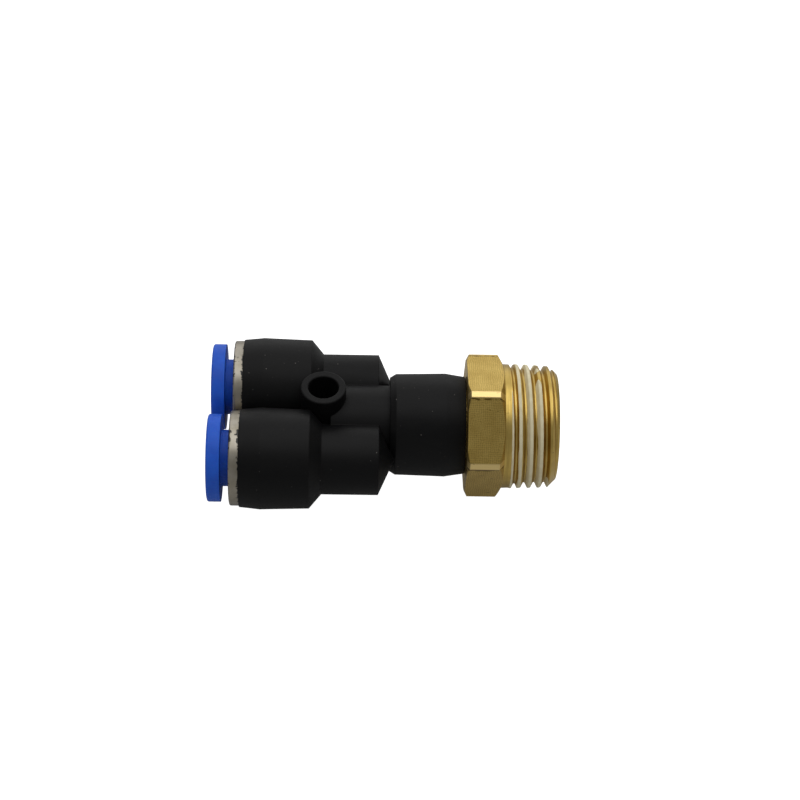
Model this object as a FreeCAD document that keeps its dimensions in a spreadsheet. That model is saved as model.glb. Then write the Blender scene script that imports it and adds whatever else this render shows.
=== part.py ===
"""Male branch-Y push-in fitting: two 6 mm tube ports on a moulded body that swivels on a brass R 3/8 stud.

Frame: X is the stud's axis and points out of the threaded end, Y runs from port a (-Y) to port b (+Y),
and +Z is up. The origin is on the stud's axis, in the plane where the hexagon ends and the thread begins.
Lengths ending in _at are stations: how far a face lies from the origin, measured towards the ports.
Lengths ending in _depth are measured into the body from the mouth of a port.
"""

import FreeCAD
import Part
import os

import Sketcher

DIMENSIONS = (
    # threaded stud
    ("hex_across_flats", 17.0),
    ("hex_corner_radius", 9.6),  # the corners are turned off
    ("hex_length", 4.9),
    ("hex_chamfer_run", 0.7),
    ("hex_face_radius", 8.4),
    ("hex_back_chamfer_run", 0.36),
    ("hex_back_face_radius", 8.9),
    ("hex_clocking", 48.1),  # degrees from the Y axis to the first corner
    ("thread_length", 7.27),
    ("thread_gauge_length", 6.4),  # small end to gauge plane
    ("thread_gauge_radius", 8.331),
    ("thread_taper", 0.03125),  # 1 in 16 on the diameter
    ("thread_half_angle", 1.7899),  # the same taper, in degrees
    ("thread_pitch", 1.337),
    ("thread_height", 0.686),
    ("thread_crest_width", 0.4),
    ("thread_root_width", 0.223),
    ("thread_phase", 7.986),  # where the groove would cross the XZ plane past the end
    ("thread_full_turns", 4),  # at full depth, counted back from there
    ("thread_runout_length", 1.95),  # then the groove gets shallower towards the hexagon
    ("thread_runout_angle", 11.5),  # degrees
    ("thread_end_chamfer", 1.0),
    ("thread_cut_overshoot", 0.2),  # how far the groove's outline stands out past the crest
    ("sealant_full_turns", 2),
    ("sealant_runout_length", 1.85),
    ("sealant_height", 0.33),
    ("sealant_top_width", 0.15),
    ("outlet_radius", 4.2),
    ("outlet_depth", 10.2),  # from the threaded end
    ("outlet_chamfer", 0.4),
    ("spigot_radius", 5.2),
    ("spigot_end_at", 13.3),
    ("spigot_chamfer", 0.4),
    ("spigot_bore_radius", 3.2),
    ("ridge_radius", 5.6),
    ("ridge_ramp_at", 9.3),
    ("ridge_top_at", 8.5),
    ("ridge_back_at", 7.9),
    ("o_ring_groove_at", 12.4),
    ("o_ring_groove_width", 1.6),
    ("o_ring_groove_radius", 4.15),
    ("o_ring_section_radius", 0.55),
    # moulded body
    ("port_offset", 6.6),  # port axes from the stud's axis
    ("neck_end_at", 5.05),
    ("neck_end_radius", 6.54),
    ("neck_front_at", 7.7),
    ("neck_front_radius", 6.95),
    ("neck_back_at", 14.3),
    ("neck_back_radius", 6.79),
    ("waist_at", 15.1),
    ("waist_radius", 6.3),
    ("neck_bore_radius", 5.28),
    ("neck_bore_end_at", 13.6),
    ("neck_snap_radius", 5.72),
    ("neck_snap_front_at", 7.75),
    ("neck_snap_back_at", 9.5),
    ("chamber_radius", 4.4),
    ("chamber_end_at", 20.9),
    ("hump_radius", 5.2),
    ("hump_end_at", 23.0),
    ("branch_tip_at", 14.5),  # apex of the cone that closes each branch
    ("branch_end_at", 16.6),
    ("branch_radius", 4.65),
    ("branch_passage_radius", 2.6),
    ("branch_passage_end_at", 17.5),
    ("shoulder_front_at", 24.1),
    ("shoulder_back_at", 25.7),
    ("barrel_back_radius", 6.55),
    ("barrel_front_at", 32.2),
    ("barrel_front_radius", 6.75),
    ("mouth_at", 34.9),
    ("mouth_radius", 6.48),
    ("eyelet_at", 24.0),
    ("eyelet_radius", 3.02),
    ("eyelet_height", 13.9),
    ("eyelet_hole_radius", 2.0),
    ("eyelet_rounding", 0.2),
    # port cartridge
    ("tube_radius", 3.0),
    ("tube_clearance", 0.05),
    ("socket_depth", 7.4),
    ("tube_stop_depth", 12.8),
    ("cartridge_radius", 5.2),
    ("ring_radius", 6.3),
    ("ring_overhang", 1.3),
    ("ring_rounding", 0.25),
    ("ring_skirt_depth", 3.0),
    ("ring_land_radius", 3.85),
    ("ring_land_depth", 0.35),
    ("ring_counterbore_radius", 4.5),
    ("button_gap", 1.15),
    ("button_flange_radius", 5.82),
    ("button_flange_thickness", 1.8),
    ("button_rounding", 0.3),
    ("button_bore_radius", 3.1),
    ("button_mouth_radius", 3.6),
    ("button_neck_radius", 3.75),
    ("button_snap_radius", 4.2),
    ("button_snap_depth", 0.45),
    ("button_snap_length", 0.8),
    ("button_snap_ramp", 0.4),
    ("button_nose_radius", 3.25),
    ("button_nose_depth", 2.85),
    ("button_slot_depth", -0.5),
    ("button_slot_width", 0.8),
    ("button_slots", 4),
    ("claw_thickness", 0.3),
    ("claw_rim_radius", 5.15),
    ("claw_bend_radius", 4.2),
    ("claw_tip_radius", 2.95),
    ("claw_tooth_run", 1.2),
    ("claw_slot_width", 0.7),
    ("claw_teeth", 8),
    ("collar_end_depth", 4.9),
    ("collar_mouth_radius", 4.55),
    ("collar_throat_radius", 3.4),
    ("collar_throat_length", 0.2),
    ("seal_front_depth", 5.0),
    ("seal_back_depth", 7.3),
    ("seal_mouth_radius", 3.7),
    ("seal_lip_radius", 2.95),
    ("seal_lip_depth", 6.0),
    ("seal_lip_width", 0.3),
    ("seal_heel_radius", 3.5),
    ("seal_heel_depth", 6.8),
)
PORTS = (("a", "-Dims.port_offset"), ("b", "Dims.port_offset"))
CUTS = ("PartDesign::Groove", "PartDesign::Pocket", "PartDesign::SubtractiveHelix")
HEX_SIDES = 6
CLEAR_OF_PART = "20"  # millimetres, more than any cut needs to pass right through
SLOT_OVERRUN = "1"  # millimetres past the end that a slot is open at

document = FreeCAD.newDocument("push_in_y_fitting")
sheet = document.addObject("Spreadsheet::Sheet", "Dims")


def fill_sheet():
    """One row per driving dimension: its name beside its value, which carries the alias."""
    for row, (alias, value) in enumerate(DIMENSIONS, start=1):
        sheet.set(f"A{row}", alias)
        sheet.set(f"B{row}", str(value))
        sheet.setAlias(f"B{row}", alias)
    document.recompute()


def new_body(label, x="0", y="0"):
    body = document.addObject("PartDesign::Body", label)
    body.Label = label
    body.setExpression(".Placement.Base.x", x)
    body.setExpression(".Placement.Base.y", y)
    return body


def origin_feature(body, role):
    return next(feature for feature in body.Origin.OriginFeatures if feature.Role == role)


def new_sketch(body, name, plane, offset="0"):
    """An empty sketch on one of the body's own origin planes, moved up that plane by offset."""
    sketch = body.newObject("Sketcher::SketchObject", name)
    sketch.AttachmentSupport = [(origin_feature(body, plane), "")]
    sketch.MapMode = "FlatFace"
    sketch.setExpression(".AttachmentOffset.Base.y", offset)
    return sketch


def value_of(expression):
    return float(sheet.evalExpression(expression))


def outline_sketch(body, name, corners, plane="XY_Plane", offset="0"):
    """A closed outline of straight lines. Each corner is a pair of expressions that drive its place."""
    sketch = new_sketch(body, name, plane, offset)
    places = [FreeCAD.Vector(value_of(u), value_of(v), 0) for u, v in corners]
    count = len(corners)
    for index in range(count):
        sketch.addGeometry(Part.LineSegment(places[index], places[(index + 1) % count]), False)
    for index in range(count):
        sketch.addConstraint(Sketcher.Constraint("Coincident", index, 2, (index + 1) % count, 1))
    for index, (u, v) in enumerate(corners):
        for kind, letter, place, expression in (
            ("DistanceX", "u", places[index].x, u),
            ("DistanceY", "v", places[index].y, v),
        ):
            number = sketch.addConstraint(Sketcher.Constraint(kind, -1, 1, index, 1, place))
            sketch.renameConstraint(number, f"{letter}{index}")
            sketch.setExpression(f"Constraints.{letter}{index}", expression)
    return sketch


def circle_sketch(body, name, x, radius):
    """A circle on the XY plane, centred on the X axis."""
    sketch = new_sketch(body, name, "XY_Plane")
    place = FreeCAD.Vector(value_of(x), 0, 0)
    size = value_of(radius)
    sketch.addGeometry(Part.Circle(place, FreeCAD.Vector(0, 0, 1), size), False)
    sketch.addConstraint(Sketcher.Constraint("PointOnObject", 0, 3, -1))
    for kind, value, expression in (("DistanceX", place.x, x), ("Radius", size, radius)):
        ends = (-1, 1, 0, 3, value) if kind == "DistanceX" else (0, value)
        number = sketch.addConstraint(Sketcher.Constraint(kind, *ends))
        sketch.renameConstraint(number, kind)
        sketch.setExpression(f"Constraints.{kind}", expression)
    return sketch


def turn(body, name, corners, cut=False, offset="0"):
    """Revolve an outline of (x, radius) corners about the X axis, or about a parallel at y = offset."""
    sketch = outline_sketch(body, f"{name}_outline", corners, offset=offset)
    feature = body.newObject("PartDesign::Groove" if cut else "PartDesign::Revolution", name)
    feature.Profile = sketch
    feature.ReferenceAxis = (sketch, ["H_Axis"])
    feature.Angle = 360
    document.recompute()
    return feature


def extrude(body, name, sketch, length, cut=False, midplane=False, reversed_=False):
    feature = body.newObject("PartDesign::Pocket" if cut else "PartDesign::Pad", name)
    feature.Profile = sketch
    feature.setExpression("Length", length)
    feature.SideType = "Symmetric" if midplane else "One side"
    feature.Reversed = reversed_
    document.recompute()
    return feature


def wind(body, name, corners, run, angle, cut=False):
    """Sweep an outline back along a right-handed helix on a cone that widens by angle."""
    sketch = outline_sketch(body, f"{name}_outline", corners, plane="XZ_Plane")
    feature = body.newObject("PartDesign::SubtractiveHelix" if cut else "PartDesign::AdditiveHelix", name)
    feature.Profile = sketch
    feature.ReferenceAxis = (sketch, ["H_Axis"])
    feature.Mode = "pitch-height-angle"
    feature.setExpression("Pitch", "Dims.thread_pitch")
    feature.setExpression("Height", run)
    feature.setExpression("Angle", angle)
    feature.Reversed = True
    document.recompute()
    return feature


def slots(body, name, x_from, x_to, width, count, reach=CLEAR_OF_PART):
    """Slots cut up from the X axis, as far out as reach, and repeated around it."""
    corners = [
        (x_from, f"-{width} / 2"),
        (x_to, f"-{width} / 2"),
        (x_to, f"{width} / 2"),
        (x_from, f"{width} / 2"),
    ]
    sketch = outline_sketch(body, f"{name}_outline", corners)
    slot = extrude(body, f"{name}_first", sketch, reach, cut=True, reversed_=True)
    pattern = body.newObject("PartDesign::PolarPattern", name)
    pattern.Originals = [slot]
    pattern.Axis = (origin_feature(body, "X_Axis"), [""])
    pattern.Angle = 360
    pattern.setExpression("Occurrences", count)
    body.Tip = pattern
    document.recompute()
    return pattern


def round_edges(body, name, base, radius, wanted):
    """Fillet the circular edges for which wanted(circle) holds."""
    names = [
        f"Edge{index}"
        for index, edge in enumerate(base.Shape.Edges, start=1)
        if isinstance(edge.Curve, Part.Circle) and wanted(edge.Curve)
    ]
    fillet = body.newObject("PartDesign::Fillet", name)
    fillet.Base = (base, names)
    fillet.setExpression("Radius", radius)
    document.recompute()
    return fillet


def size_of(alias):
    return float(sheet.get(alias))


def near(one, other):
    return abs(one - other) < 1e-4


def thread_radius(x):
    """The crest radius at x, as an expression: it shrinks towards the threaded end."""
    gauge_plane = "(Dims.thread_length - Dims.thread_gauge_length)"
    return f"Dims.thread_gauge_radius - ({x} - {gauge_plane}) * Dims.thread_taper"


def groove_half_width(height):
    """Half the thread groove's width at a height above its root, as an expression."""
    slope = "(Dims.thread_pitch - Dims.thread_crest_width - Dims.thread_root_width) / 2 / Dims.thread_height"
    return f"Dims.thread_root_width / 2 + ({height}) * {slope}"


def turns_back(start, turns):
    """The station that a helix reaches from start after whole turns, as an expression."""
    return f"({start} - {turns} * Dims.thread_pitch)"


def cut_groove(body, name, centre, run, angle):
    """Cut the thread's groove from centre, a station in the XZ plane, back along its cone."""
    root = f"{thread_radius(centre)} - Dims.thread_height"
    # the groove's sides go on past the crest at the same slope, so that the cut leaves no skin
    top = f"{thread_radius(centre)} + Dims.thread_cut_overshoot"
    half_top = f"({groove_half_width('Dims.thread_height + Dims.thread_cut_overshoot')})"
    corners = [
        (f"{centre} - Dims.thread_root_width / 2", root),
        (f"{centre} + Dims.thread_root_width / 2", root),
        (f"{centre} + {half_top}", top),
        (f"{centre} - {half_top}", top),
    ]
    wind(body, name, corners, run, angle, cut=True)


def lay_bead(body, name, centre, run, angle):
    """Lay sealant on the groove's floor and against its side nearer the threaded end."""
    root = f"{thread_radius(centre)} - Dims.thread_height"
    side = f"{centre} + ({groove_half_width('Dims.sealant_height')})"
    corners = [
        (f"{centre} - Dims.thread_root_width / 2", root),
        (f"{centre} + Dims.thread_root_width / 2", root),
        (side, f"{root} + Dims.sealant_height"),
        (f"{side} - Dims.sealant_top_width", f"{root} + Dims.sealant_height"),
    ]
    wind(body, name, corners, run, angle)


def make_threaded_stud():
    body = new_body("threaded_stud")
    sharp_corner_radius = f"Dims.hex_across_flats / 2 / cos({180 // HEX_SIDES})"
    corner_angles = [f"{360 // HEX_SIDES * side} + Dims.hex_clocking" for side in range(HEX_SIDES)]
    hexagon = [
        (f"{sharp_corner_radius} * cos({angle})", f"{sharp_corner_radius} * sin({angle})")
        for angle in corner_angles
    ]
    sketch = outline_sketch(body, "hexagon_outline", hexagon, plane="YZ_Plane")
    extrude(body, "hexagon", sketch, "Dims.hex_length", reversed_=True)
    turn(
        body,
        "turned_corners",
        [
            ("0", "Dims.hex_face_radius"),
            ("-Dims.hex_chamfer_run", "Dims.hex_corner_radius"),
            ("-Dims.hex_length + Dims.hex_back_chamfer_run", "Dims.hex_corner_radius"),
            ("-Dims.hex_length", "Dims.hex_back_face_radius"),
            ("-Dims.hex_length", CLEAR_OF_PART),
            ("0", CLEAR_OF_PART),
        ],
        cut=True,
    )
    chamfer_start = "Dims.thread_length - Dims.thread_end_chamfer"
    o_ring_front = "-Dims.o_ring_groove_at + Dims.o_ring_groove_width"
    turn(
        body,
        "spigot_and_thread_blank",
        [
            ("-Dims.spigot_end_at", "0"),
            ("-Dims.spigot_end_at", "Dims.spigot_radius - Dims.spigot_chamfer"),
            ("-Dims.spigot_end_at + Dims.spigot_chamfer", "Dims.spigot_radius"),
            ("-Dims.o_ring_groove_at", "Dims.spigot_radius"),
            ("-Dims.o_ring_groove_at", "Dims.o_ring_groove_radius"),
            (o_ring_front, "Dims.o_ring_groove_radius"),
            (o_ring_front, "Dims.spigot_radius"),
            ("-Dims.ridge_ramp_at", "Dims.spigot_radius"),
            ("-Dims.ridge_top_at", "Dims.ridge_radius"),
            ("-Dims.ridge_back_at", "Dims.ridge_radius"),
            ("-Dims.ridge_back_at", "Dims.spigot_radius"),
            ("-Dims.hex_length / 2", "Dims.spigot_radius"),
            ("-Dims.hex_length / 2", thread_radius("0")),
            ("0", thread_radius("0")),
            (chamfer_start, thread_radius(chamfer_start)),
            ("Dims.thread_length", f"{thread_radius(chamfer_start)} - Dims.thread_end_chamfer"),
            ("Dims.thread_length", "0"),
        ],
    )
    bore_step = "Dims.thread_length - Dims.outlet_depth"
    turn(
        body,
        "through_bore",
        [
            ("-Dims.spigot_end_at", "0"),
            ("-Dims.spigot_end_at", "Dims.spigot_bore_radius"),
            (f"{bore_step} - Dims.outlet_radius + Dims.spigot_bore_radius", "Dims.spigot_bore_radius"),
            (bore_step, "Dims.outlet_radius"),
            ("Dims.thread_length - Dims.outlet_chamfer", "Dims.outlet_radius"),
            ("Dims.thread_length", "Dims.outlet_radius + Dims.outlet_chamfer"),
            ("Dims.thread_length", "0"),
        ],
        cut=True,
    )
    full_depth_run = "Dims.thread_full_turns * Dims.thread_pitch"
    runout_start = turns_back("Dims.thread_phase", "Dims.thread_full_turns")
    cut_groove(body, "thread_groove", "Dims.thread_phase", full_depth_run, "Dims.thread_half_angle")
    cut_groove(body, "thread_runout", runout_start, "Dims.thread_runout_length", "Dims.thread_runout_angle")
    return body


def make_thread_sealant():
    """The dried sealant: a helical bead that lies in the thread's groove and in its run-out."""
    body = new_body("thread_sealant")
    full_depth_run = "Dims.sealant_full_turns * Dims.thread_pitch"
    bead_start = turns_back("Dims.thread_phase", "(Dims.thread_full_turns - Dims.sealant_full_turns)")
    runout_start = turns_back("Dims.thread_phase", "Dims.thread_full_turns")
    lay_bead(body, "bead", bead_start, full_depth_run, "Dims.thread_half_angle")
    lay_bead(body, "runout_bead", runout_start, "Dims.sealant_runout_length", "Dims.thread_runout_angle")
    return body


def make_stud_o_ring():
    """The ring sits on the floor of the stud's groove and seals against the neck's bore."""
    ring = document.addObject("Part::Torus", "stud_o_ring")
    ring.Label = "stud_o_ring"
    ring.setExpression("Radius1", "Dims.o_ring_groove_radius + Dims.o_ring_section_radius")
    ring.setExpression("Radius2", "Dims.o_ring_section_radius")
    ring.Placement.Rotation = FreeCAD.Rotation(FreeCAD.Vector(0, 1, 0), 90)
    ring.setExpression(".Placement.Base.x", "-Dims.o_ring_groove_at + Dims.o_ring_groove_width / 2")
    return ring


def make_y_body():
    """Two barrels with their branches, the neck between them and the eyelet, cored out for the air."""
    body = new_body("y_body")
    for port, offset in PORTS:
        turn(
            body,
            f"barrel_{port}",
            [
                ("-Dims.mouth_at", "0"),
                ("-Dims.mouth_at", "Dims.mouth_radius"),
                ("-Dims.barrel_front_at", "Dims.barrel_front_radius"),
                ("-Dims.shoulder_back_at", "Dims.barrel_back_radius"),
                ("-Dims.shoulder_front_at", "Dims.branch_radius"),
                ("-Dims.branch_end_at", "Dims.branch_radius"),
                ("-Dims.branch_tip_at", "0"),
            ],
            offset=offset,
        )
    turn(
        body,
        "neck",
        [
            ("-Dims.hump_end_at", "0"),
            ("-Dims.hump_end_at", "Dims.hump_radius"),
            ("-Dims.waist_at", "Dims.hump_radius"),
            ("-Dims.waist_at", "Dims.waist_radius"),
            ("-Dims.neck_back_at", "Dims.neck_back_radius"),
            ("-Dims.neck_front_at", "Dims.neck_front_radius"),
            ("-Dims.neck_end_at", "Dims.neck_end_radius"),
            ("-Dims.neck_end_at", "0"),
        ],
    )
    eyelet = circle_sketch(body, "eyelet_outline", "-Dims.eyelet_at", "Dims.eyelet_radius")
    extrude(body, "eyelet", eyelet, "Dims.eyelet_height", midplane=True)
    for port, offset in PORTS:
        turn(
            body,
            f"port_bore_{port}",
            [
                ("-Dims.mouth_at", "0"),
                ("-Dims.mouth_at", "Dims.cartridge_radius"),
                ("-Dims.mouth_at + Dims.socket_depth", "Dims.cartridge_radius"),
                ("-Dims.mouth_at + Dims.socket_depth", "Dims.tube_radius + Dims.tube_clearance"),
                ("-Dims.mouth_at + Dims.tube_stop_depth", "Dims.tube_radius + Dims.tube_clearance"),
                ("-Dims.mouth_at + Dims.tube_stop_depth", "Dims.branch_passage_radius"),
                ("-Dims.branch_passage_end_at", "Dims.branch_passage_radius"),
                ("-Dims.branch_passage_end_at", "0"),
            ],
            cut=True,
            offset=offset,
        )
    turn(
        body,
        "chamber",
        [
            ("-Dims.chamber_end_at", "0"),
            ("-Dims.chamber_end_at", "Dims.chamber_radius"),
            ("-Dims.neck_bore_end_at", "Dims.chamber_radius"),
            ("-Dims.neck_bore_end_at", "Dims.neck_bore_radius"),
            ("-Dims.neck_snap_back_at", "Dims.neck_bore_radius"),
            ("-Dims.neck_snap_back_at", "Dims.neck_snap_radius"),
            ("-Dims.neck_snap_front_at", "Dims.neck_snap_radius"),
            ("-Dims.neck_snap_front_at", "Dims.neck_bore_radius"),
            ("-Dims.neck_end_at", "Dims.neck_bore_radius"),
            ("-Dims.neck_end_at", "0"),
        ],
        cut=True,
    )
    hole = circle_sketch(body, "eyelet_hole_outline", "-Dims.eyelet_at", "Dims.eyelet_hole_radius")
    pierced = extrude(body, "eyelet_hole", hole, CLEAR_OF_PART, cut=True, midplane=True)
    face_height = size_of("eyelet_height") / 2
    rim_radii = (size_of("eyelet_radius"), size_of("eyelet_hole_radius"))

    def is_rim(circle):
        return near(abs(circle.Center.z), face_height) and any(near(circle.Radius, rim) for rim in rim_radii)

    round_edges(body, "eyelet_rims", pierced, "Dims.eyelet_rounding", is_rim)
    return body


def port_body(kind, port, offset):
    """A body whose origin is the centre of a port's mouth, with +X leading into the fitting."""
    return new_body(f"{kind}_{port}", x="-Dims.mouth_at", y=offset)


def make_guide_ring(port, offset):
    body = port_body("guide_ring", port, offset)
    ring = turn(
        body,
        "ring",
        [
            ("-Dims.ring_overhang", "Dims.ring_land_radius"),
            ("-Dims.ring_overhang", "Dims.ring_radius"),
            ("0", "Dims.ring_radius"),
            ("0", "Dims.cartridge_radius"),
            ("Dims.ring_skirt_depth", "Dims.cartridge_radius"),
            ("Dims.ring_skirt_depth", "Dims.ring_counterbore_radius"),
            ("Dims.ring_land_depth", "Dims.ring_counterbore_radius"),
            ("Dims.ring_land_depth", "Dims.ring_land_radius"),
        ],
    )
    front = -size_of("ring_overhang")
    outer = size_of("ring_radius")
    round_edges(
        body,
        "ring_front_edge",
        ring,
        "Dims.ring_rounding",
        lambda circle: near(circle.Center.x, front) and near(circle.Radius, outer),
    )


def make_release_button(port, offset):
    body = port_body("release_button", port, offset)
    flange_back = "-Dims.ring_overhang - Dims.button_gap"
    flange_front = f"{flange_back} - Dims.button_flange_thickness"
    mouth_chamfer = f"{flange_front} + Dims.button_mouth_radius - Dims.button_bore_radius"
    snap_back = "Dims.button_snap_depth + Dims.button_snap_length"
    turn(
        body,
        "sleeve",
        [
            (flange_front, "Dims.button_mouth_radius"),
            (flange_front, "Dims.button_flange_radius"),
            (flange_back, "Dims.button_flange_radius"),
            (flange_back, "Dims.button_neck_radius"),
            ("Dims.button_snap_depth", "Dims.button_neck_radius"),
            ("Dims.button_snap_depth", "Dims.button_snap_radius"),
            (snap_back, "Dims.button_snap_radius"),
            (f"{snap_back} + Dims.button_snap_ramp", "Dims.button_neck_radius"),
            ("Dims.button_nose_depth", "Dims.button_nose_radius"),
            ("Dims.button_nose_depth", "Dims.button_bore_radius"),
            (mouth_chamfer, "Dims.button_bore_radius"),
        ],
    )
    slotted = slots(
        body,
        "snap_slots",
        "Dims.button_slot_depth",
        f"Dims.button_nose_depth + {SLOT_OVERRUN}",
        "Dims.button_slot_width",
        "Dims.button_slots",
    )
    front = -size_of("ring_overhang") - size_of("button_gap") - size_of("button_flange_thickness")
    outer = size_of("button_flange_radius")
    round_edges(
        body,
        "flange_front_edge",
        slotted,
        "Dims.button_rounding",
        lambda circle: near(circle.Center.x, front) and near(circle.Radius, outer),
    )


def make_lock_claw(port, offset):
    """A flat steel rim whose teeth lean inwards and away from the mouth, so that a tube can't back out."""
    body = port_body("lock_claw", port, offset)
    rim_back = "Dims.ring_skirt_depth + Dims.claw_thickness"
    tip = "Dims.ring_skirt_depth + Dims.claw_tooth_run"
    turn(
        body,
        "claw",
        [
            ("Dims.ring_skirt_depth", "Dims.claw_bend_radius"),
            ("Dims.ring_skirt_depth", "Dims.claw_rim_radius"),
            (rim_back, "Dims.claw_rim_radius"),
            (rim_back, "Dims.claw_bend_radius"),
            (f"{tip} + Dims.claw_thickness", "Dims.claw_tip_radius"),
            (tip, "Dims.claw_tip_radius"),
        ],
    )
    slots(
        body,
        "tooth_gaps",
        f"Dims.ring_skirt_depth - {SLOT_OVERRUN}",
        f"{tip} + {SLOT_OVERRUN}",
        "Dims.claw_slot_width",
        "Dims.claw_teeth",
        reach="Dims.claw_bend_radius",  # the rim stays whole
    )


def make_claw_collar(port, offset):
    """The collar backs the claw's rim and leaves its teeth room to bend."""
    body = port_body("claw_collar", port, offset)
    front = "Dims.ring_skirt_depth + Dims.claw_thickness"
    turn(
        body,
        "collar",
        [
            (front, "Dims.collar_mouth_radius"),
            (front, "Dims.claw_rim_radius"),
            ("Dims.collar_end_depth", "Dims.claw_rim_radius"),
            ("Dims.collar_end_depth", "Dims.collar_throat_radius"),
            ("Dims.collar_end_depth - Dims.collar_throat_length", "Dims.collar_throat_radius"),
        ],
    )


def make_tube_seal(port, offset):
    """A rubber ring with an inward lip, a little smaller than the tube that it seals."""
    body = port_body("tube_seal", port, offset)
    turn(
        body,
        "seal",
        [
            ("Dims.seal_front_depth", "Dims.seal_mouth_radius"),
            ("Dims.seal_front_depth", "Dims.cartridge_radius"),
            ("Dims.seal_back_depth", "Dims.cartridge_radius"),
            ("Dims.seal_back_depth", "Dims.seal_heel_radius"),
            ("Dims.seal_heel_depth", "Dims.seal_heel_radius"),
            ("Dims.seal_lip_depth + Dims.seal_lip_width", "Dims.seal_lip_radius"),
            ("Dims.seal_lip_depth", "Dims.seal_lip_radius"),
        ],
    )


def sub_parts():
    """The bodies and primitives that stand alone, in the order they were made."""
    return [item for item in document.Objects if item.TypeId in ("PartDesign::Body", "Part::Torus")]


def check_model():
    """Stop on a failed object, a bad shape, or a cut that took nothing away."""
    for item in document.Objects:
        if {"Invalid", "Error"} & set(item.State):
            raise RuntimeError(f"{item.Label} failed to recompute: {item.State}")
        base = getattr(item, "BaseFeature", None)
        if base and item.TypeId in CUTS and item.Shape.Volume >= base.Shape.Volume - 1e-3:
            raise RuntimeError(f"{item.Label} cut nothing")
    for item in sub_parts():
        if item.Shape.isNull() or not item.Shape.isValid():
            raise RuntimeError(f"{item.Label} has no valid shape")
        if len(item.Shape.Solids) != 1:
            raise RuntimeError(f"{item.Label} is {len(item.Shape.Solids)} solids, not one")


fill_sheet()
make_threaded_stud()
make_thread_sealant()
make_stud_o_ring()
make_y_body()
for port_name, port_y in PORTS:
    make_guide_ring(port_name, port_y)
    make_release_button(port_name, port_y)
    make_lock_claw(port_name, port_y)
    make_claw_collar(port_name, port_y)
    make_tube_seal(port_name, port_y)
document.recompute()
check_model()

os.makedirs("parts", exist_ok=True)
for sub_part in sub_parts():
    sub_part.Shape.exportStep(f"parts/{sub_part.Label}.step")
    print(f"{sub_part.Label}: {sub_part.Shape.Volume:.2f} mm3")
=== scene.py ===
"""Looks for the male branch-Y push-in fitting: materials, the ragged thread sealant, light and camera."""

import math

import bmesh
import bpy
from mathutils import Matrix, Vector, noise
from mathutils.bvhtree import BVHTree


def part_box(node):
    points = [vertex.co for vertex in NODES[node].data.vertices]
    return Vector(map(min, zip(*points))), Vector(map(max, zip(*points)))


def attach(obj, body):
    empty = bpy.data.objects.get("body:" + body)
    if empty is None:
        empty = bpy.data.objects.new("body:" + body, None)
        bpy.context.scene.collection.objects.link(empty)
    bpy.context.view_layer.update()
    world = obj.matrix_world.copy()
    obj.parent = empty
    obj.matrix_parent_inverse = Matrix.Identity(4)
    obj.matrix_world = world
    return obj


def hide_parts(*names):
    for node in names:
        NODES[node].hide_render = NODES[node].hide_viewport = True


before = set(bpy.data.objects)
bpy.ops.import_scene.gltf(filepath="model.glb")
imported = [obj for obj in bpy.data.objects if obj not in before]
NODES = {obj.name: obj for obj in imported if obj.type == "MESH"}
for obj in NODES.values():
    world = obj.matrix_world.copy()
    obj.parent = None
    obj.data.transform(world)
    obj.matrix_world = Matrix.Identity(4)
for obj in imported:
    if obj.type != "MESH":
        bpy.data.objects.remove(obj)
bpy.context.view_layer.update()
MM = 0.001
scene = bpy.context.scene
scene.view_settings.view_transform = "Standard"

# ---------------------------------------------------------------- camera

CAMERA_AZIMUTH = math.radians(2.0)
CAMERA_ELEVATION = math.radians(45.85)
CAMERA_ROLL = math.radians(-2.32)
CAMERA_DISTANCE = 284.0 * MM
CAMERA_LENS = 94.78
AIM_START = Vector((-16.0, 0.0, 0.0)) * MM
AIM_RIGHT = 2.33 * MM
AIM_UP = 3.25 * MM


def make_camera():
    """The camera looks along +Y and down; its axes are worked out from azimuth, elevation and roll."""
    back = Vector(
        (
            -math.sin(CAMERA_AZIMUTH) * math.cos(CAMERA_ELEVATION),
            -math.cos(CAMERA_AZIMUTH) * math.cos(CAMERA_ELEVATION),
            math.sin(CAMERA_ELEVATION),
        )
    )
    level = Vector((math.cos(CAMERA_AZIMUTH), -math.sin(CAMERA_AZIMUTH), 0.0))
    upright = back.cross(level)
    right = level * math.cos(CAMERA_ROLL) - upright * math.sin(CAMERA_ROLL)
    up = level * math.sin(CAMERA_ROLL) + upright * math.cos(CAMERA_ROLL)
    place = AIM_START + right * AIM_RIGHT + up * AIM_UP + back * CAMERA_DISTANCE
    data = bpy.data.cameras.new("camera")
    data.lens = CAMERA_LENS
    data.sensor_width = 36.0
    data.clip_start = 0.01
    data.clip_end = 10.0
    camera = bpy.data.objects.new("camera", data)
    scene.collection.objects.link(camera)
    camera.matrix_world = Matrix.Translation(place) @ Matrix((right, up, back)).transposed().to_4x4()
    scene.camera = camera


# ---------------------------------------------------------------- the stud and the plated rings

HEX_CLOCKING = math.radians(48.1)
HEX_BAND = math.radians(3.1)  # from the middle of a turned corner to its edge
HEX_SIDE = math.radians(60.0)
HATCH_PITCH = 0.27 * MM  # of the scoring on the flats
HATCH_RADIUS = 9.0 * MM  # where the pitch around the hexagon is taken
WORN_ANGLE = math.radians(106.0)  # the stretch of each plated ring with the most specks
WORN_REACH = math.radians(20.0)
THREAD_PITCH = 1.337 * MM
CREST_STATION = 7.3175 * MM  # where the thread's crest crosses the XZ plane nearest the threaded end

# the sealant, by turns of the crest's helix, counted from CREST_STATION back towards the hexagon
COAT_STRIPS = ((0.35, 0.71), (1.22, 2.015), (2.05, 2.075), (2.11, 4.975))
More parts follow.
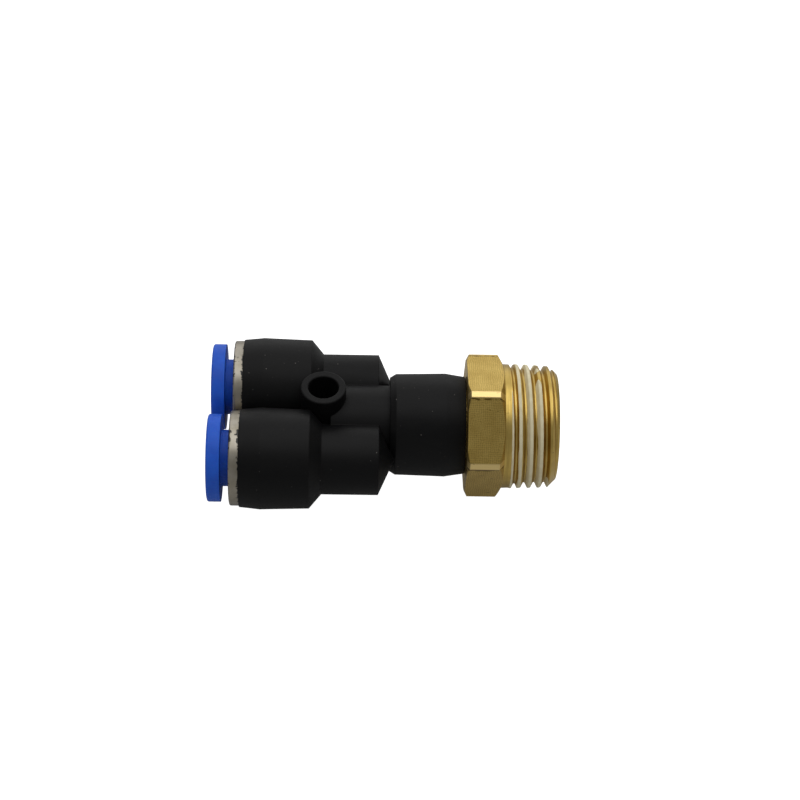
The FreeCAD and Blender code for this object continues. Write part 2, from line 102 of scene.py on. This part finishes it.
# turn, then the left and right edges of the coat, in millimetres from the middle of the crest
COAT_EDGES = (
    (0.35, -0.55, -0.10),
    (0.71, -0.60, -0.18),
    (1.22, -0.45, 0.10),
    (1.88, -0.60, 0.20),
    (2.88, -0.57, 0.19),
    (3.40, -0.50, 0.15),
    (3.88, -0.36, 0.10),
    (4.40, -0.15, 0.20),
    (4.88, 0.07, 0.34),
    (4.98, 0.15, 0.27),
)
COAT_COLUMNS = 14
COAT_STEPS_PER_TURN = 260
COAT_FADE = 0.02  # turns over which a strip thins out at its ends
COAT_SKIN = 0.075  # thicknesses in millimetres
COAT_EDGE_SKIN = 0.02
COAT_SUNK = 0.03

# ---------------------------------------------------------------- node helpers


class Shader:
    """A material under construction. Nodes are made by type, with sockets given as values or links."""

    def __init__(self, name):
        self.material = bpy.data.materials.new(name)
        self.material.use_nodes = True
        self.tree = self.material.node_tree
        self.tree.nodes.clear()
        self.output = self.tree.nodes.new("ShaderNodeOutputMaterial")
        self.surface = self.node("ShaderNodeBsdfPrincipled")
        self.tree.links.new(self.surface.outputs[0], self.output.inputs["Surface"])
        self.place = self.node("ShaderNodeTexCoord").outputs["Object"]

    def node(self, kind, sockets=None, **settings):
        made = self.tree.nodes.new(kind)
        for key, value in settings.items():
            setattr(made, key, value)
        for key, value in (sockets or {}).items():
            self.plug(made, key, value)
        return made

    def plug(self, node, key, value):
        socket = node.inputs[key]
        if isinstance(value, bpy.types.NodeSocket):
            self.tree.links.new(value, socket)
        else:
            socket.default_value = value

    def set(self, **sockets):
        """Sockets of the Principled shader, with underscores for spaces."""
        for key, value in sockets.items():
            self.plug(self.surface, key.replace("_", " "), value)

    def math(self, operation, first, second=0.0):
        return self.node("ShaderNodeMath", {0: first, 1: second}, operation=operation).outputs[0]

    def stretch(self, x, y, z):
        """Coordinates in millimetres, multiplied along each axis."""
        scale = (x / MM, y / MM, z / MM)
        return self.node("ShaderNodeVectorMath", {0: self.place, 1: scale}, operation="MULTIPLY").outputs[0]

    def noise(self, vector, detail=2.0, roughness=0.5):
        sockets = {"Vector": vector, "Scale": 1.0, "Detail": detail, "Roughness": roughness}
        return self.node("ShaderNodeTexNoise", sockets).outputs["Fac"]

    def span(self, value, low, high, to_low=0.0, to_high=1.0):
        """Maps low..high to to_low..to_high, held at the ends."""
        made = self.node(
            "ShaderNodeMapRange", {0: value, 1: low, 2: high, 3: to_low, 4: to_high}, clamp=True
        )
        return made.outputs[0]

    def blend(self, factor, first, second):
        made = self.node("ShaderNodeMix", data_type="RGBA")
        for key, value in ((0, factor), (6, first), (7, second)):
            self.plug(made, key, value)
        return made.outputs[2]

    def bump(self, height, distance, normal=None):
        sockets = {"Height": height, "Distance": distance * MM, "Strength": 1.0}
        if normal is not None:
            sockets["Normal"] = normal
        return self.node("ShaderNodeBump", sockets).outputs[0]

    def rounded(self, radius):
        """The normal as if every edge were rounded by radius, in millimetres."""
        return self.node("ShaderNodeBevel", {"Radius": radius * MM}, samples=6).outputs[0]

    def around_x(self, turns, along, out, centre_y=0.0):
        """Coordinates that wrap around the X axis: (x * along, radius * out, unit circle * turns)."""
        split = self.node("ShaderNodeSeparateXYZ", {0: self.place})
        across = self.math("SUBTRACT", split.outputs[1], centre_y)
        flat = self.node("ShaderNodeCombineXYZ", {0: 0.0, 1: across, 2: split.outputs[2]}).outputs[0]
        radius = self.node("ShaderNodeVectorMath", {0: flat}, operation="LENGTH").outputs["Value"]
        unit = self.node("ShaderNodeVectorMath", {0: flat}, operation="NORMALIZE").outputs[0]
        turned = self.node("ShaderNodeSeparateXYZ", {0: unit})
        lengthways = self.math("MULTIPLY", split.outputs[0], along / MM)
        outwards = self.math("MULTIPLY", radius, out / MM)
        return self.node(
            "ShaderNodeCombineXYZ",
            {
                0: self.math("ADD", lengthways, outwards),
                1: self.math("MULTIPLY", turned.outputs[1], turns),
                2: self.math("MULTIPLY", turned.outputs[2], turns),
            },
        ).outputs[0]


# ---------------------------------------------------------------- materials


def black_pbt():
    s = Shader("moulded black PBT")
    flow = s.noise(s.stretch(0.25, 0.5, 0.5), detail=4.0, roughness=0.6)
    grain = s.noise(s.stretch(9.0, 9.0, 9.0), detail=3.0)
    dust = s.span(s.noise(s.stretch(2.6, 2.6, 2.6), detail=1.0), 0.78, 0.8)
    base = s.blend(s.span(flow, 0.35, 0.7), (0.0035, 0.0035, 0.0038, 1), (0.0052, 0.0052, 0.0052, 1))
    s.set(
        Base_Color=s.blend(dust, base, (0.14, 0.13, 0.12, 1)),
        Roughness=s.span(s.math("ADD", flow, s.math("MULTIPLY", grain, 0.5)), 0.5, 1.0, 0.42, 0.55),
        Normal=s.bump(grain, 0.006, normal=s.rounded(0.18)),
    )
    s.set(Specular_IOR_Level=0.15)
    return s.material


def blue_acetal():
    s = Shader("moulded blue acetal")
    cloud = s.noise(s.stretch(0.4, 0.4, 0.4), detail=3.0)
    grain = s.noise(s.stretch(7.0, 7.0, 7.0), detail=2.0)
    s.set(
        Base_Color=s.blend(s.span(cloud, 0.35, 0.65), (0.017, 0.104, 0.63, 1), (0.024, 0.132, 0.73, 1)),
        Roughness=s.span(cloud, 0.3, 0.7, 0.42, 0.52),
        Normal=s.bump(grain, 0.004, normal=s.rounded(0.15)),
    )
    s.set(Subsurface_Weight=0.15, Subsurface_Scale=1.0 * MM, Specular_IOR_Level=0.22)
    return s.material


def nickel_plate(port, centre_y):
    """Thin plating, worn through in black specks, most of them on the front face and along both edges."""
    s = Shader(f"nickel plate {port}")
    brushed = s.noise(s.around_x(3.0, 30.0, 30.0, centre_y), detail=3.0)
    stain = s.noise(s.stretch(0.9, 0.9, 0.9), detail=3.0)
    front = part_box(f"guide_ring_{port}")[0].x
    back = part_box("y_body")[0].x
    split = s.node("ShaderNodeSeparateXYZ", {0: s.place})
    to_front = s.span(split.outputs[0], front, front + 0.4 * MM, 0.16, 0.0)
    to_back = s.span(split.outputs[0], back - 0.35 * MM, back, 0.0, 0.2)
    across = s.math("SUBTRACT", split.outputs[1], centre_y)
    angle = s.math("ARCTAN2", split.outputs[2], across)
    from_worn = s.math("ABSOLUTE", s.math("SUBTRACT", angle, WORN_ANGLE))
    worn = s.span(from_worn, 0.0, WORN_REACH, 0.13, 0.0)
    crowd = s.math("ADD", s.math("ADD", to_front, to_back), worn)
    chips = s.noise(s.stretch(1.9, 1.9, 1.9), detail=4.0, roughness=0.62)
    chipped = s.span(s.math("ADD", chips, crowd), 0.695, 0.715)
    metal = s.blend(s.span(stain, 0.3, 0.7), (0.32, 0.29, 0.23, 1), (0.41, 0.38, 0.325, 1))
    relief = s.math("SUBTRACT", s.math("MULTIPLY", brushed, 0.15), chipped)
    s.set(
        Base_Color=s.blend(chipped, metal, (0.012, 0.011, 0.01, 1)),
        Metallic=s.span(chipped, 0.0, 1.0, 1.0, 0.0),
        Roughness=s.span(brushed, 0.3, 0.7, 0.3, 0.46),
        Normal=s.bump(relief, 0.02, normal=s.rounded(0.08)),
    )
    return s.material


def brass():
    """Machined brass: cross-hatched flats, darker marks beside the turned corners, a painted highlight on
    every turned corner, with fine rings on the thread.
    """
    s = Shader("turned brass")
    split = s.node("ShaderNodeSeparateXYZ", {0: s.place})
    on_thread = s.span(split.outputs[0], -0.05 * MM, 0.0)
    off_thread = s.math("SUBTRACT", 1.0, on_thread)
    angle = s.math("ARCTAN2", split.outputs[2], split.outputs[1])
    wander = s.math("MULTIPLY", s.noise(s.stretch(1.6, 1.6, 1.6), detail=3.0), 11.0)
    hatching = 2.0 * math.pi / HATCH_PITCH
    along = s.math("MULTIPLY", split.outputs[0], hatching)
    across = s.math("MULTIPLY", angle, HATCH_RADIUS * hatching)
    lengthways = s.math("SINE", s.math("ADD", along, wander))
    crossways = s.math("SINE", s.math("ADD", across, wander))
    hatch = s.span(s.math("ADD", lengthways, crossways), -2.0, 2.0)
    fine = s.noise(s.stretch(6.0, 9.0, 9.0), detail=2.0)
    flats = s.math("ADD", s.math("MULTIPLY", hatch, 0.55), s.math("MULTIPLY", fine, 0.35))
    rings = s.noise(s.around_x(1.6, 9.0, 9.0), detail=3.0)
    lines = s.math("ADD", s.math("MULTIPLY", off_thread, flats), s.math("MULTIPLY", on_thread, rings))
    turned = s.math("SUBTRACT", angle, HEX_CLOCKING)
    from_corner = s.math("PINGPONG", turned, HEX_SIDE / 2)
    # every turned corner is painted a light brass: a painted highlight of the overhead light
    on_corner = s.math("MULTIPLY", s.span(from_corner, HEX_BAND - 0.006, HEX_BAND, 1.0, 0.0), off_thread)
    past_corner = s.math("FLOORED_MODULO", turned, HEX_SIDE)
    # darker marks on each flat just past a turned corner, also sunk a little in the bump
    dark_begins = s.span(past_corner, HEX_BAND, HEX_BAND + 0.008)
    dark_ends = s.span(past_corner, 0.07, 0.11, 1.0, 0.0)
    beside = s.math("MULTIPLY", dark_begins, dark_ends)
    crowd = s.math("MULTIPLY", s.math("MULTIPLY", beside, off_thread), 0.27)
    mark_noise = s.noise(s.stretch(0.9, 1.9, 1.9), detail=4.0, roughness=0.6)
    corner_marks = s.span(s.math("ADD", mark_noise, crowd), 0.66, 0.76)
    stain = s.noise(s.stretch(0.45, 0.45, 0.45), detail=4.0, roughness=0.6)
    clean = s.blend(s.span(stain, 0.3, 0.7), (0.57, 0.395, 0.105, 1), (0.72, 0.52, 0.155, 1))
    lined = s.blend(s.span(lines, 0.12, 0.66, 0.72, 0.0), clean, (0.28, 0.185, 0.04, 1))
    # painted highlight: the turned corners take the light brass colour
    corner_highlight = s.blend(on_corner, lined, (0.84, 0.64, 0.27, 1))
    s.set(
        Base_Color=s.blend(corner_marks, corner_highlight, (0.13, 0.08, 0.018, 1)),
        Roughness=s.span(lines, 0.2, 0.7, 0.42, 0.29),
        Normal=s.bump(s.math("SUBTRACT", lines, corner_marks), 0.011, normal=s.rounded(0.07)),
    )
    s.set(Metallic=1.0)
    return s.material


def sealant():
    s = Shader("dried sealant")
    cloud = s.noise(s.stretch(0.7, 1.2, 1.2), detail=4.0)
    grain = s.noise(s.stretch(5.0, 5.0, 5.0), detail=3.0)
    s.set(
        Base_Color=s.blend(s.span(cloud, 0.3, 0.7), (0.80, 0.71, 0.45, 1), (0.90, 0.82, 0.56, 1)),
        Roughness=s.span(grain, 0.3, 0.7, 0.45, 0.65),
        Normal=s.bump(grain, 0.02),
    )
    s.set(Specular_IOR_Level=0.35)
    return s.material


def plain(name, dark, light, roughness, metallic=0.0, lump=0.006):
    """The sealed pieces that only show down the ports: a mottled colour with a fine grain."""
    s = Shader(name)
    cloud = s.noise(s.stretch(0.8, 0.8, 0.8), detail=3.0)
    grain = s.noise(s.stretch(8.0, 8.0, 8.0), detail=2.0)
    s.set(
        Base_Color=s.blend(s.span(cloud, 0.3, 0.7), (*dark, 1), (*light, 1)),
        Roughness=s.span(grain, 0.3, 0.7, roughness - 0.06, roughness + 0.06),
        Normal=s.bump(grain, lump, normal=s.rounded(0.05)),
    )
    s.set(Metallic=metallic)
    return s.material


def paint(node, material):
    data = NODES[node].data
    data.materials.clear()
    data.materials.append(material)


# ---------------------------------------------------------------- thread sealant


def between(keys, turn):
    """The left and right edges of the coat at a turn of the helix, from the keys on either side of it."""
    for (start, *first), (end, *second) in zip(keys, keys[1:]):
        if turn <= end:
            part = max(0.0, (turn - start) / (end - start))
            return [a + (b - a) * part for a, b in zip(first, second)]
    return keys[-1][1:]


def brass_radius(surface, x, outward):
    """How far from the stud's axis its surface lies, at station x in the direction outward."""
    reach = 0.012
    hit = surface.ray_cast(Vector((x, 0, 0)) + outward * reach, -outward, reach)[0]
    return math.hypot(hit.y, hit.z)


def coat_row(surface, turn, fade):
    """One cross-section of the coat: its outer points from left to right, then its inner points."""
    station = CREST_STATION - THREAD_PITCH * turn
    angle = math.radians(90.0 - 360.0 * turn)
    outward = Vector((0.0, math.cos(angle), math.sin(angle)))
    left, right = between(COAT_EDGES, turn)
    slow = noise.noise(Vector((turn * 16.0, 3.1, 0.0)))
    quick = noise.noise(Vector((turn * 70.0, 7.7, 0.0)))
    notch = max(0.0, noise.noise(Vector((turn * 9.0, 11.3, 0.0))) - 0.3)
    left += 0.05 * slow + 0.03 * quick + 0.35 * notch
    right += 0.025 * noise.noise(Vector((turn * 55.0, 5.2, 0.0)))
    middle = (left + right) / 2
    half = (right - left) / 2 * (0.3 + 0.7 * fade)
    stations = []
    for column in range(COAT_COLUMNS):
        part = 2.0 * column / (COAT_COLUMNS - 1) - 1.0
        stations.append(station + (middle + half * part) * MM)
    bare = [brass_radius(surface, x, outward) for x in stations]
    outer = []
    inner = []
    for column, x in enumerate(stations):
        beside = bare[max(column - 1, 0)] + bare[min(column + 1, COAT_COLUMNS - 1)]
        softened = (2.0 * bare[column] + beside) / 4.0
        part = 2.0 * column / (COAT_COLUMNS - 1) - 1.0
        lump = noise.noise(Vector((x / MM * 2.5, turn * 40.0, 1.7)))
        skin = COAT_EDGE_SKIN + (COAT_SKIN * fade * (1.0 + 0.35 * lump) - COAT_EDGE_SKIN) * (1.0 - part**4)
        radius = max(bare[column], softened) + max(skin, COAT_EDGE_SKIN) * MM
        outer.append(outward * radius + Vector((x, 0, 0)))
        inner.append(outward * (bare[column] - COAT_SUNK * MM) + Vector((x, 0, 0)))
    return outer + inner[::-1]


def make_sealant_coat():
    """The brushed-on sealant: closed ragged strips along the thread's crests and the flanks behind them."""
    stud = NODES["threaded_stud"].data
    surface = BVHTree.FromPolygons([v.co for v in stud.vertices], [p.vertices[:] for p in stud.polygons])
    shape = bmesh.new()
    for first, last in COAT_STRIPS:
        steps = max(6, round((last - first) * COAT_STEPS_PER_TURN))
        rings = []
        for step in range(steps + 1):
            turn = first + (last - first) * step / steps
            fade = min(1.0, (turn - first) / COAT_FADE, (last - turn) / COAT_FADE)
            fade = math.sin(max(fade, 0.0) * math.pi / 2)
            rings.append([shape.verts.new(point) for point in coat_row(surface, turn, fade)])
        for one, other in zip(rings, rings[1:]):
            for index in range(len(one)):
                following = (index + 1) % len(one)
                shape.faces.new((one[index], one[following], other[following], other[index]))
        for ring in (rings[0], rings[-1]):
            for column in range(COAT_COLUMNS - 1):
                shape.faces.new((ring[column], ring[column + 1], ring[-2 - column], ring[-1 - column]))
    bmesh.ops.recalc_face_normals(shape, faces=shape.faces)
    mesh = bpy.data.meshes.new("sealant_coat")
    shape.to_mesh(mesh)
    shape.free()
    mesh.polygons.foreach_set("use_smooth", [True] * len(mesh.polygons))
    mesh.materials.append(sealant())
    coat = bpy.data.objects.new("sealant_coat", mesh)
    scene.collection.objects.link(coat)
    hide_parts("thread_sealant")
    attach(coat, "stud")


# ---------------------------------------------------------------- floor and light

FLOOR_HALF = 3.0  # metres
FLOOR_GLOW = 0.94  # what the floor adds where the camera sees it, so that it is white
BACKDROP = 1.05  # the surroundings' strength as the camera sees them
TENT = 0.27  # and as they light the part

def make_floor():
    """A pale floor just under the lowest place that the swivelling body can reach."""
    reach = max(abs(value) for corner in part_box("y_body") for value in (corner.y, corner.z))
    level = -reach - 0.3 * MM
    mesh = bpy.data.meshes.new("floor")
    corners = ((-1, -1), (1, -1), (1, 1), (-1, 1))
    mesh.from_pydata([(x * FLOOR_HALF, y * FLOOR_HALF, level) for x, y in corners], [], [(0, 1, 2, 3)])
    floor = bpy.data.objects.new("floor", mesh)
    scene.collection.objects.link(floor)
    s = Shader("pale floor")
    cloud = s.noise(s.stretch(0.05, 0.05, 0.05))
    seen = s.node("ShaderNodeLightPath").outputs["Is Camera Ray"]
    s.set(
        Base_Color=s.blend(cloud, (0.60, 0.60, 0.60, 1), (0.64, 0.64, 0.64, 1)),
        Roughness=0.9,
        Emission_Color=(1.0, 1.0, 1.0, 1.0),
        Emission_Strength=s.math("MULTIPLY", seen, FLOOR_GLOW),
    )
    s.set(Specular_IOR_Level=0.1)
    mesh.materials.append(s.material)


def make_area(name, place, target, size, power):
    data = bpy.data.lights.new(name, "AREA")
    data.shape = "RECTANGLE"
    data.size, data.size_y = size
    data.energy = power
    lamp = bpy.data.objects.new(name, data)
    scene.collection.objects.link(lamp)
    lamp.location = place
    lamp.rotation_mode = "QUATERNION"
    lamp.rotation_quaternion = (target - place).to_track_quat("-Z", "Y")


def make_light():
    world = bpy.data.worlds.new("light tent")
    scene.world = world
    world.use_nodes = True
    tree = world.node_tree
    tree.nodes.clear()
    output = tree.nodes.new("ShaderNodeOutputWorld")
    seen = tree.nodes.new("ShaderNodeBackground")
    seen.inputs["Color"].default_value = (1, 1, 1, 1)
    seen.inputs["Strength"].default_value = BACKDROP
    tent = tree.nodes.new("ShaderNodeBackground")
    tent.inputs["Color"].default_value = (1, 1, 1, 1)
    tent.inputs["Strength"].default_value = TENT
    path = tree.nodes.new("ShaderNodeLightPath")
    mix = tree.nodes.new("ShaderNodeMixShader")
    tree.links.new(path.outputs["Is Camera Ray"], mix.inputs[0])
    tree.links.new(tent.outputs[0], mix.inputs[1])
    tree.links.new(seen.outputs[0], mix.inputs[2])
    tree.links.new(mix.outputs[0], output.inputs["Surface"])
    make_area("overhead softbox", Vector((0.0, 0.05, 0.45)), AIM_START, (0.5, 0.5), 1.0)
    make_area("far bounce", Vector((0.0, 0.55, 0.25)), AIM_START, (0.9, 0.5), 1.06)


make_camera()
paint("y_body", black_pbt())
blue = blue_acetal()
steel = plain("claw spring steel", (0.42, 0.42, 0.42), (0.58, 0.58, 0.57), 0.28, metallic=1.0)
acetal = plain("natural acetal", (0.66, 0.65, 0.60), (0.76, 0.75, 0.71), 0.45)
nitrile = plain("nitrile rubber", (0.012, 0.012, 0.012), (0.022, 0.022, 0.022), 0.6, lump=0.012)
paint("stud_o_ring", nitrile)
paint("threaded_stud", brass())
make_sealant_coat()
for port, side in (("a", -1), ("b", 1)):
    low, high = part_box(f"guide_ring_{port}")
    paint(f"guide_ring_{port}", nickel_plate(port, (low.y + high.y) / 2))
    paint(f"release_button_{port}", blue)
    paint(f"lock_claw_{port}", steel)
    paint(f"claw_collar_{port}", acetal)
    paint(f"tube_seal_{port}", nitrile)
make_floor()
make_light()
